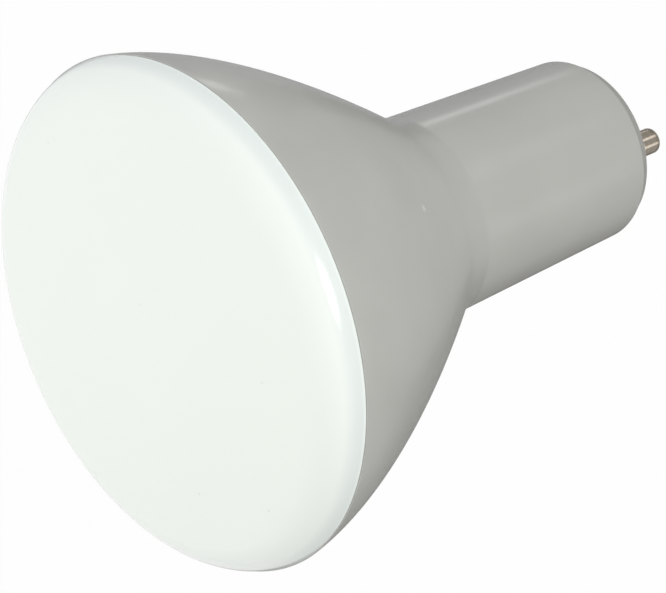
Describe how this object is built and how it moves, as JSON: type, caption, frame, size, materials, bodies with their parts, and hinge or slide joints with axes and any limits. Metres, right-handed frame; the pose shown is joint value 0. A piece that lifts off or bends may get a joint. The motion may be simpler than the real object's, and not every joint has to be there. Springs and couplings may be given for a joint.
{
  "type": "reflector bulb",
  "caption": "Reflector bulb: milky domed diffuser on a grey bell-shaped housing with a straight neck and a pin-type twist-lock base.",
  "frame": {"origin": "centre of the base cap's rear face, which seats on the lampholder", "axes": "+Z along the axis of the bulb from the base to the dome; +X from that axis to contact_pin_1"},
  "size_m": [0.095, 0.095, 0.1214],
  "materials": {
    "housing_plastic": "light grey, smooth and glossy",
    "milky_polycarbonate": "milky white, smooth and glossy",
    "cap_plastic": "grey, fine moulded texture",
    "nickel_plated_brass": "turned and nickel plated, bright"
  },
  "bodies": {
    "root": {"housing": "housing_plastic", "diffuser": "milky_polycarbonate", "base_cap": "cap_plastic", "contact_pin_1": "nickel_plated_brass", "contact_pin_2": "nickel_plated_brass"}
  },
  "joints": []
}
